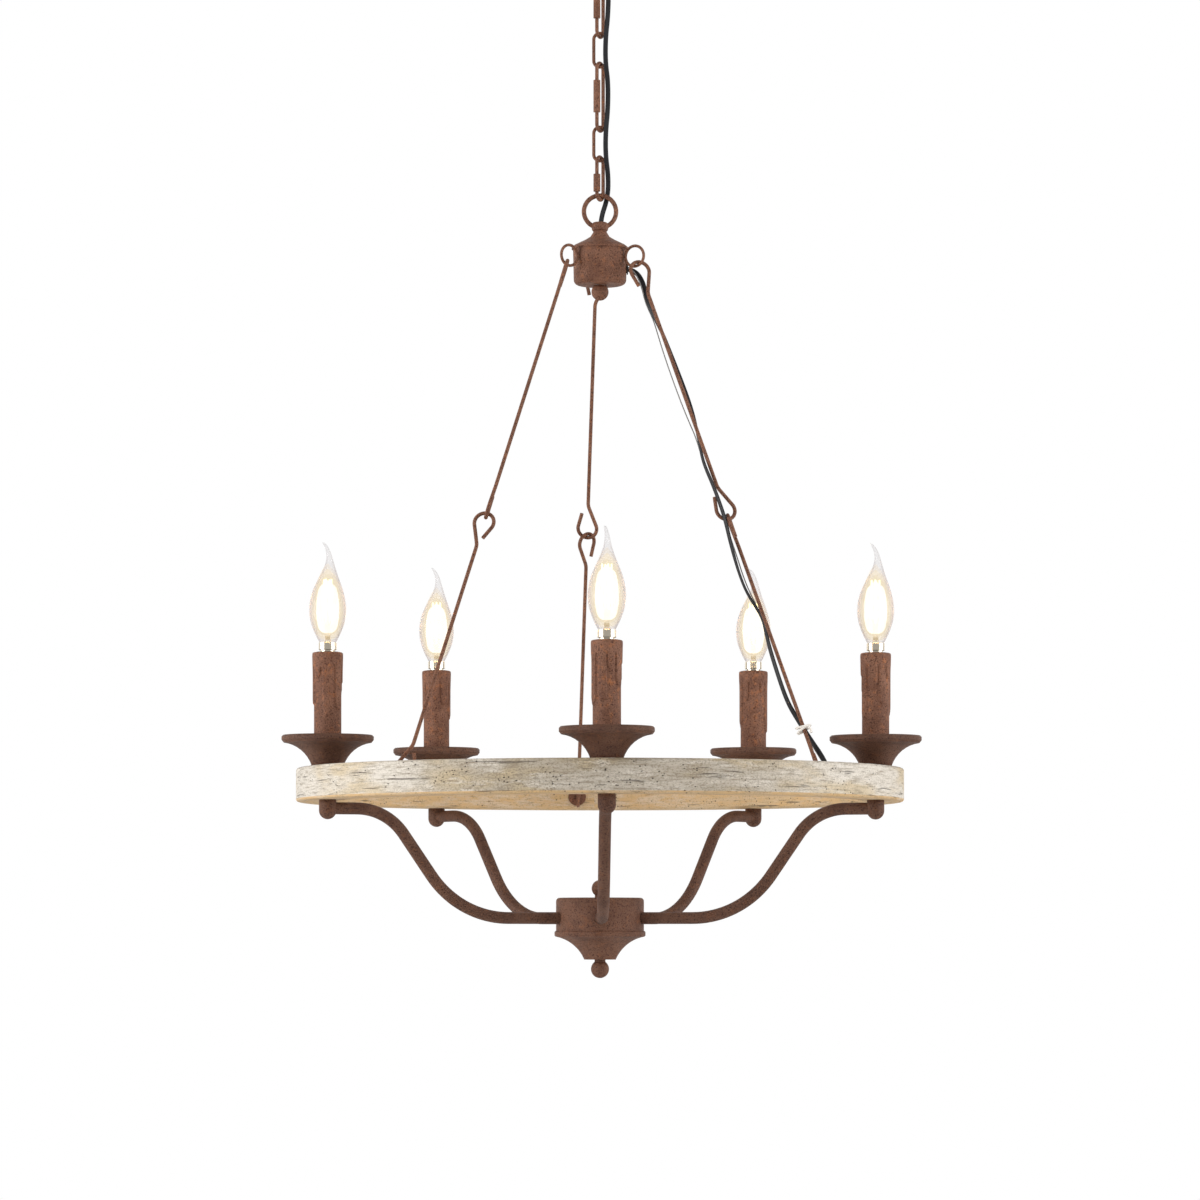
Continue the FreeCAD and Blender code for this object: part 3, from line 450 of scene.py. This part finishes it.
supplyRoute = [hubPlace(*p) for p in (
    (0, 0, -1), (0, 0, -51), (8.8, 3.2, -72), (8.3, -1.0, -92), (7.6, -2.6, -116), (5.4, -5.2, -136),
    (5.0, -5.2, -160), (7.8, -2.4, -180), (7.6, -1.8, -206), (5.4, -5.2, -228), (5.2, -5.0, -250),
    (8.2, 1.2, -271), (7.6, 6.6, -291), (0, 0, -313), (0, 0, -334))]
branchRoute = [hubPlace(*p) for p in (
    (0, 0, -334), (0, 0, -346), (5.0, 0.9, -354.8), (14.0, 0.9, -359.6), (27.0, 0.9, -359.8),
    (36.5, -2.5, -364.5), (42.5, -9.5, -377))] + [onRod(*p) for p in (
        (43, -3.4, 3.6), (66, -0.2, 4.8), (86, 1.4, 4.6), (106, 2.2, 4.2), (140, 3.0, 3.8), (160, 2.4, 4.2),
        (178, 0.2, 4.8), (194, -2.2, 4.4), (208, -4.4, 1.8), (220, -4.8, -2.4), (236, -4.0, -6.8),
        (258, -3.8, -8.2), (274, -4.4, -7.4), (290, -6.2, -5.0), (308, -7.8, -2.6), (328, -8.8, 0.0),
        (346, -8.0, 2.8), (360, -4.4, 4.8), (374, -1.0, 5.2), (390, -3.2, 4.2), (410, -5.4, 1.4),
        (440, -6.6, 0.2), (460, -6.2, 3.0), (474, -3.4, 5.2), (500, 3.4, 5.4), (516, 8.4, 4.0))] + [
            byHole(*p) for p in ((240.8, 12.6, -851.5), (250.3, 14.2, -858.7), (263.3, 14.2, -859.3))]
# How far the flat cord is turned at each of the 36 points of its route, in degrees
branchTurns = [0] * 8 + [20] + [40] * 8 + [35, 30, 25, 30, 40, 50, 50, 50, 40, 30, 20, 20, 15] + [0] * 6
bondRoute = [hubPlace(*p) for p in (
    (15.5, -2.6, -373.85), (15.5, -2.6, -366.5), (19.5, -2.6, -360.8), (27.0, -2.6, -359.4),
    (34.0, -5.5, -364.5), (39.5, -13.0, -378))] + [onRod(*p) for p in (
        (43, -5.4, 6.6), (60, -3.4, 7.0), (78, -4.4, 5.6), (98, -5.4, 4.4), (124, -5.8, 3.8), (150, -5.4, 4.2),
        (168, -4.4, 6.2), (184, -3.0, 8.2), (200, -3.8, 7.6), (214, -4.6, 3.4), (228, -4.4, -0.8),
        (242, -3.6, -4.0), (260, -3.6, -5.0), (276, -4.0, -4.2), (292, -4.8, -1.6), (310, -5.0, 0.8),
        (330, -5.6, 3.4), (346, -4.6, 6.2), (362, -2.0, 8.2), (378, -1.6, 8.2), (394, -3.6, 7.0),
        (412, -5.6, 4.6), (440, -7.2, 3.4), (458, -7.4, 6.2), (474, -4.4, 9.2), (500, 1.6, 10.2),
        (516, 5.6, 7.4))] + [byHole(*p) for p in (
            (238.5, 16.2, -851.5), (250.3, 17.8, -858.9), (262.5, 17.8, -859.3))]


def twinSection():
    # Two round lobes with a waist between them
    deselectAll()
    bpy.ops.curve.primitive_bezier_circle_add(radius=cordSet["lobe"])
    section = bpy.context.object
    section.data.resolution_u = 6
    for point in section.data.splines[0].bezier_points:
        if abs(point.co.x) > abs(point.co.y):
            point.co.x += math.copysign(cordSet["spread"], point.co.x)
            point.handle_left.x = point.handle_right.x = point.co.x
        else:
            point.co.y *= cordSet["waist"]
            point.handle_left.y = point.handle_right.y = point.co.y
            point.handle_left.x *= cordSet["neck"]
            point.handle_right.x *= cordSet["neck"]
    return section


def cordMesh(name, route, section=None, radius=0, turns=None):
    # Swept along a curve near the route, with the section or, without one, as a round wire
    curve = bpy.data.curves.new(name, "CURVE")
    curve.dimensions = "3D"
    spline = curve.splines.new("NURBS")
    spline.points.add(len(route) - 1)
    for point, place, turn in zip(spline.points, route, turns or [0] * len(route)):
        point.co = (*place, 1)
        point.tilt = math.radians(turn)
    spline.order_u = 3
    spline.use_endpoint_u = True
    spline.resolution_u = cordSet["steps"]
    if section:
        curve.bevel_mode = "OBJECT"
        curve.bevel_object = section
    else:
        curve.bevel_depth = radius
        curve.bevel_resolution = 3
    curve.use_fill_caps = True
    piece = bpy.data.objects.new(name, curve)
    bpy.context.collection.objects.link(piece)
    choose(piece)
    bpy.ops.object.convert(target="MESH")
    piece = bpy.context.object
    piece.name = piece.data.name = name
    bpy.ops.object.mode_set(mode="EDIT")
    bpy.ops.mesh.select_all(action="SELECT")
    bpy.ops.mesh.remove_doubles(threshold=0.000001)
    bpy.ops.mesh.normals_make_consistent(inside=False)
    bpy.ops.object.mode_set(mode="OBJECT")
    smooth(piece, 60)
    return piece


def cutBelow(piece, height, name):
    # What lies below the height becomes a piece of its own
    selectFaces(piece, lambda centre: centre.z < height)
    bpy.ops.mesh.separate(type="SELECTED")
    bpy.ops.object.mode_set(mode="OBJECT")
    lower = [o for o in bpy.context.selected_objects if o != piece][0]
    lower.name = lower.data.name = name
    return lower


section = twinSection()
supply = cordMesh("supplyCord1", supplyRoute, section)
chainNodes = ["canopy_loop", "long_link_2", "chain_oval_2", "long_link_1", "chain_oval_1", "quick_link", "hub_ring"]
for number in range(6):
    part = supply
    if number < 5:
        low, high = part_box(chainNodes[number + 1])
        supply = cutBelow(part, (low.z + high.z) / 2, "supplyCord" + str(number + 2))
    finishPiece(part, "rubber")
    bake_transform(part)
    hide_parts("supply_cord")

for name, route, profile, turns, slotName, finishName, node in (
        ("branchCord", branchRoute, section, branchTurns, "cord_black", "rubber", "branch_cord"),
        ("groundWire", bondRoute, None, None, "wire_grey", "wire", "ground_wire")):
    upper = cordMesh(name, route, profile, cordSet["wire"], turns)
    lower = cutBelow(upper, cordSet["cut"], name + "End")
    for part in (upper, lower):
        finishPiece(part, finishName)
        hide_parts(node)
    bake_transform(upper)
    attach(lower, "wheel")
bpy.data.objects.remove(section)
print("cords made")

# ---- the white tie: two wraps and a twisted end

tieSet = {"along": 487, "wrap": 0.0041, "stretch": 1.6, "wire": 0.0012, "behind": (0.0001, 0.00265, 0),
          "gap": 0.0026, "tail": [(0.0036, -0.0040, 0.0016), (0.0052, -0.0052, 0.0004),
                                  (0.0066, -0.0046, -0.0018), (0.0070, -0.0054, -0.0044)]}
tieMiddle = onRod(tieSet["along"], 0, 0) + Vector(tieSet["behind"])
wraps = []
for step, lean in ((-0.5, 8), (0.5, -9)):
    deselectAll()
    bpy.ops.mesh.primitive_torus_add(major_segments=40, minor_segments=10, major_radius=tieSet["wrap"],
                                     minor_radius=tieSet["wire"])
    wrap = bpy.context.object
    bpy.ops.transform.resize(value=(1, tieSet["stretch"], 1))
    settle(wrap)
    wrap.rotation_mode = "QUATERNION"
    wrap.rotation_quaternion = rodAlong.to_track_quat("Z", "Y")
    settle(wrap)
    wrap.rotation_mode = "XYZ"
    wrap.rotation_euler = (math.radians(lean), math.radians(lean), 0)
    wrap.location = tieMiddle + rodAlong * step * tieSet["gap"]
    settle(wrap)
    wraps.append(wrap)
tail = cordMesh("tieTail", [tieMiddle + Vector(p) for p in tieSet["tail"]], None, tieSet["wire"])
choose(wraps[0])
wraps[1].select_set(True)
tail.select_set(True)
bpy.ops.object.join()
tie = bpy.context.object
tie.name = tie.data.name = "cordTie"
smooth(tie, 60)
finishPiece(tie, "tie")
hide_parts("cord_tie")
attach(tie, "rods_3")
print("tie made")

# ---- candle sleeves with wax drips

# Each drip has its middle and half width in degrees, and the height of its foot in millimetres. The wax covers the
# whole way round above "band", and "foot" and "arch" are how far a drip's foot and the arches beside it curve
sleeveSet = {"radius": 0.0130, "wall": 0.0014, "swell": 0.0013, "band": 0.0905, "rim": 0.0015, "foot": 0.006,
             "arch": 0.004, "archReach": 1.5, "step": 0.0025, "flare": 0.0005, "flareFrom": 0.8, "flareSlope": 5,
             "insideHeights": [0.070, 0.030, 0],
             "drips": [(-90, 17, 50), (-52, 15, 76), (-14, 18, 62), (22, 13, 82), (56, 16, 42), (98, 19, 70),
                       (138, 15, 56), (176, 17, 80), (222, 19, 46)]}


def inDrip(centre):
    if math.hypot(centre.x, centre.y) < sleeveSet["radius"] - sleeveSet["wall"] / 2:
        return False
    height = centre.z - (lamps["sleeveTop"] - lamps["sleeveLength"])
    angle = math.degrees(math.atan2(centre.y, centre.x))
    angle = angle + 360 if angle < -110 else angle
    if height > lamps["sleeveLength"] - sleeveSet["rim"]:
        return False
    for middle, half, low in sleeveSet["drips"]:
        off = abs(angle - middle) / half
        # A drip is round at its foot and runs into the band under an arch
        if off < 1 and height > low / 1000 + sleeveSet["foot"] * off ** 3:
            return True
        if off < sleeveSet["archReach"] and height > (sleeveSet["band"]
                                                      + sleeveSet["arch"] * (sleeveSet["archReach"] - off)):
            return True
    return height > sleeveSet["band"] + sleeveSet["arch"]


inside = sleeveSet["radius"] - sleeveSet["wall"]
steps = int(lamps["sleeveLength"] / sleeveSet["step"])
rings = [(sleeveSet["step"] * i, sleeveSet["radius"]
          + sleeveSet["flare"] * max(0, i / steps - sleeveSet["flareFrom"]) * sleeveSet["flareSlope"])
         for i in range(steps)]
# The rounded top edge, then down the inside
rings += [(lamps["sleeveLength"] - 0.0008, sleeveSet["radius"] + 0.0002),
          (lamps["sleeveLength"], sleeveSet["radius"] - 0.0006), (lamps["sleeveLength"], inside)]
rings += [(height, inside) for height in sleeveSet["insideHeights"]]
sleeve = loft("sleeve", (0, 0, lamps["sleeveTop"] - lamps["sleeveLength"]), rings, 64)
bpy.ops.mesh.select_all(action="DESELECT")
bpy.ops.mesh.select_non_manifold()
bpy.ops.mesh.bridge_edge_loops()
bpy.ops.mesh.select_all(action="SELECT")
bpy.ops.mesh.normals_make_consistent(inside=False)
bpy.ops.object.mode_set(mode="OBJECT")
selectFaces(sleeve, inDrip)
bpy.ops.mesh.extrude_region_shrink_fatten(TRANSFORM_OT_shrink_fatten={"value": sleeveSet["swell"]})
bpy.ops.object.mode_set(mode="OBJECT")
applyModifier(sleeve, "SUBSURF", {"levels": 1, "render_levels": 1})
applyModifier(sleeve, "SMOOTH", {"factor": 0.5, "iterations": 5})
smooth(sleeve, 60)
lampPlaces = [Vector((math.cos(math.radians(angle)), math.sin(math.radians(angle)), 0)) * lamps["ringRadius"]
              for angle in lamps["angles"]]
for number, place in enumerate(lampPlaces):
    copy = copyTo(sleeve, "candleSleeve" + str(number + 1), place, lamps["turns"][number])
    finishPiece(copy, "warmRust")
    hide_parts("candle_sleeves")
    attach(copy, "wheel")
bpy.data.objects.remove(sleeve)
print("candle sleeves made")

# ---- ferrules: round-bottomed sockets under the rim

# "top" is the ferrule's top face, under the rim, and the ball's turns are degrees up from its lowest point
ferruleSet = {"radius": 0.0083, "height": 0.0188, "top": -0.87638, "lip": 0.0004, "wallShare": 0.3,
              "ballTurns": [6, 18, 32, 46, 60, 75, 90]}
ballRings = [(-ferruleSet["height"] + ferruleSet["radius"] * (1 - math.cos(math.radians(turn))),
              ferruleSet["radius"] * math.sin(math.radians(turn))) for turn in ferruleSet["ballTurns"]]
ferrule = loft("ferrule", (0, 0, ferruleSet["top"]), ballRings + [
    (-ferruleSet["height"] * ferruleSet["wallShare"], ferruleSet["radius"]),
    (-ferruleSet["lip"] * 2, ferruleSet["radius"]),
    (-ferruleSet["lip"], ferruleSet["radius"] - ferruleSet["lip"]), (0, ferruleSet["radius"] - ferruleSet["lip"])], 36)
closeEnds(ferrule)
smooth(ferrule, 45)
for number, place in enumerate(lampPlaces):
    copy = copyTo(ferrule, "armFerrule" + str(number + 1), place, 0)
    # The ferrules take the darkest rust, as painted shade
    finishPiece(copy, "deepRust")
    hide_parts("arm_ferrules")
    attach(copy, "wheel")
bpy.data.objects.remove(ferrule)

# ---- bulbs

# Heights and radii in millimetres from the sleeve's top, and how far the flame leans. A glow is the flame at a share
# of its width between two heights
bulbSet = {"base": [(-18, 3.0), (-15.2, 3.0), (-15, 5.2)] + [(-14.4 + 1.2 * i, 5.75 if i % 2 else 5.2)
                                                            for i in range(12)] +
                   [(0, 5.6), (0.02, 7.0), (1.5, 7.1), (1.6, 8.3), (2.0, 8.6), (8.6, 8.6), (9.0, 8.2), (9.02, 3.0)],
           "flame": [(9.1, 8.2, 0), (14, 10.8, 0), (20, 13.6, 0), (27, 16.2, 0), (34, 17.6, 0), (41, 17.9, 0),
                     (48, 17.3, 0), (55, 15.8, 0.1), (62, 13.3, 0.4), (68, 10.6, 0.9), (73, 8.3, 1.4),
                     (78, 6.2, 1.9), (82, 4.8, 2.1), (86, 3.6, 2.1), (90, 2.8, 1.8), (94, 2.3, 1.0),
                     (97.5, 2.0, -0.2), (100.5, 1.8, -1.8), (102.8, 1.4, -3.5), (104.1, 0.8, -5.0)],
           "wall": 0.0006, "stem": [(9, 3.4), (12, 2.6), (22, 2.2), (28, 2.6), (31, 4.4), (32, 4.6), (32.6, 3.0)],
           "filaments": [(4.6, 0), (0, 4.6), (-4.6, 0), (0, -4.6)], "filamentFoot": 27, "filamentTop": 69,
           "filamentLean": -0.2,
           "glow": {"glowEdge": (0.94, 11, 80), "glowHalo": (0.86, 13, 75), "glowMiddle": (0.76, 16, 70),
                    "glowCore": (0.62, 19, 64)}}
top = (0, 0, lamps["sleeveTop"])
base = loft("base", top, [(h / 1000, r / 1000) for h, r in bulbSet["base"]], 40)
closeEnds(base)
smooth(base, 35)
flame = loft("flame", top, [(h / 1000, r / 1000, lean / 1000) for h, r, lean in bulbSet["flame"]], 32)
bpy.ops.mesh.edge_face_add()
bpy.ops.mesh.select_all(action="SELECT")
bpy.ops.mesh.normals_make_consistent(inside=False)
bpy.ops.object.mode_set(mode="OBJECT")
applyModifier(flame, "SOLIDIFY", {"thickness": bulbSet["wall"], "offset": -1})
applyModifier(flame, "SUBSURF", {"levels": 1, "render_levels": 1})
smooth(flame, 60)
stem = loft("stem", top, [(h / 1000, r / 1000) for h, r in bulbSet["stem"]], 20)
closeEnds(stem)
smooth(stem, 60)
rods = []
for x, y in bulbSet["filaments"]:
    rod = loft("rod", (x / 1000, y / 1000, lamps["sleeveTop"]),
               [(bulbSet["filamentFoot"] / 1000, 0.0005), ((bulbSet["filamentFoot"] + 1) / 1000, 0.0009),
                ((bulbSet["filamentTop"] - 1) / 1000, 0.0009, bulbSet["filamentLean"] * x / 1000),
                (bulbSet["filamentTop"] / 1000, 0.0005, bulbSet["filamentLean"] * x / 1000)], 10)
    closeEnds(rod)
    rods.append(rod)
choose(rods[0])
for rod in rods[1:]:
    rod.select_set(True)
bpy.ops.object.join()
filament = bpy.context.object
smooth(filament, 60)
glows = {}
for name, (share, low, high) in bulbSet["glow"].items():
    spread = [(h, r * share) for h, r, lean in bulbSet["flame"] if low < h < high]
    spread = [(low - 1.5, spread[0][1] * 0.35)] + spread + [(high, spread[-1][1] * 0.55), (high + 4, 0.8)]
    glow = loft(name, top, [(h / 1000, r / 1000) for h, r in spread], 24)
    closeEnds(glow)
    applyModifier(glow, "SUBSURF", {"levels": 1, "render_levels": 1})
    smooth(glow, 80)
    glows[name] = glow
for number, place in enumerate(lampPlaces):
    label = str(number + 1)
    turn = lamps["leans"][number]
    for piece, name, finishName, slotName, node in [
            (base, "bulbBase", "nickel", "bulb_cap", "bulb_base_"),
            (flame, "bulbGlass", "glass", "bulb_glass", "bulb_glass_"),
            (stem, "bulbStem", "stem", "bulb_glass", "bulb_base_"),
            (filament, "bulbFilaments", "filament", "bulb_glass", "bulb_base_")] + [
            (glows[name], name, name, "bulb_glass", "bulb_base_") for name in glows]:
        copy = copyTo(piece, name + label, place, turn)
        finishPiece(copy, finishName)
        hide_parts(node + label)
        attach(copy, "bulb_" + label)
for piece in [base, flame, stem, filament] + list(glows.values()):
    bpy.data.objects.remove(piece)
print("bulbs made")

# ---- floor, backdrop and light

stageSet = {"floor": -2.4, "backdrop": 7.0, "size": 24, "fill": 0.42}


def stageFinish(name, glow):
    # With glow it is plain white to the camera, in reflections and through glass, and a pale surface otherwise
    finish = Finish(name, Base_Color=colour(238, 237, 235), Roughness=0.9)
    if glow:
        rays = finish.node("ShaderNodeLightPath", {}, {}, "Is Camera Ray").output.node
        seen = (Socket(finish, rays.outputs["Is Camera Ray"]) + Socket(finish, rays.outputs["Is Glossy Ray"])
                + Socket(finish, rays.outputs["Is Transmission Ray"]))
        white = finish.node("ShaderNodeEmission", {}, {"Color": (1, 1, 1, 1), "Strength": 1.0})
        shown = finish.node("ShaderNodeMixShader", {}, {0: finish.between(seen, 0, 1),
                                                        1: Socket(finish, finish.shader.outputs[0]), 2: white})
        finish.tree.links.new(shown.output, finish.tree.nodes["Material Output"].inputs[0])
    return finish.material


bpy.ops.mesh.primitive_plane_add(size=stageSet["size"], location=(0, 0, stageSet["floor"]))
floor = bpy.context.object
floor.name = "floor"
floor.data.materials.append(stageFinish("floorPale", False))
bpy.ops.mesh.primitive_plane_add(size=stageSet["size"], location=(0, stageSet["backdrop"], 0),
                                 rotation=(math.pi / 2, 0, 0))
backdrop = bpy.context.object
backdrop.name = "backdrop"
backdrop.data.materials.append(stageFinish("backdropPale", True))

world = bpy.data.worlds.new("studio")
bpy.context.scene.world = world
world.use_nodes = True
nodes, links = world.node_tree.nodes, world.node_tree.links
back = nodes["Background"]
back.inputs["Color"].default_value = (1, 1, 1, 1)
lightPath = nodes.new("ShaderNodeLightPath")
widest = nodes.new("ShaderNodeMath")
widest.operation = "MAXIMUM"
links.new(lightPath.outputs["Is Camera Ray"], widest.inputs[0])
links.new(lightPath.outputs["Is Transmission Ray"], widest.inputs[1])
level = nodes.new("ShaderNodeMapRange")
level.inputs["To Min"].default_value = stageSet["fill"]
links.new(widest.outputs[0], level.inputs["Value"])
links.new(level.outputs[0], back.inputs["Strength"])

# Where each light is, its size and its power. All are aimed at lightAim
lightAim = Vector((0, 0, -0.8))
lightSet = {"left": ((-3.0, -0.9, -0.6), 2.4, 78), "right": ((3.0, -0.9, -0.6), 2.4, 66),
            "above": ((0, -1.8, 1.6), 2.2, 20)}
bulbGlow = {"height": 0.046, "power": 0.32, "size": 0.012, "tone": colour(255, 206, 140)[:3]}
for name, (place, size, power) in lightSet.items():
    bpy.ops.object.light_add(type="AREA", location=place)
    lamp = bpy.context.object
    lamp.name = name
    lamp.data.shape = "DISK"
    lamp.data.size = size
    lamp.data.energy = power
    lamp.rotation_euler = (lightAim - Vector(place)).to_track_quat("-Z", "Y").to_euler()
for number, place in enumerate(lampPlaces):
    bpy.ops.object.light_add(type="POINT", location=place + Vector((0, 0, lamps["sleeveTop"] + bulbGlow["height"])))
    lamp = bpy.context.object
    lamp.name = "bulbGlow" + str(number + 1)
    lamp.data.energy = bulbGlow["power"]
    lamp.data.shadow_soft_size = bulbGlow["size"]
    lamp.data.color = bulbGlow["tone"]
bpy.context.scene.view_settings.view_transform = "Standard"
print("stage and light set")
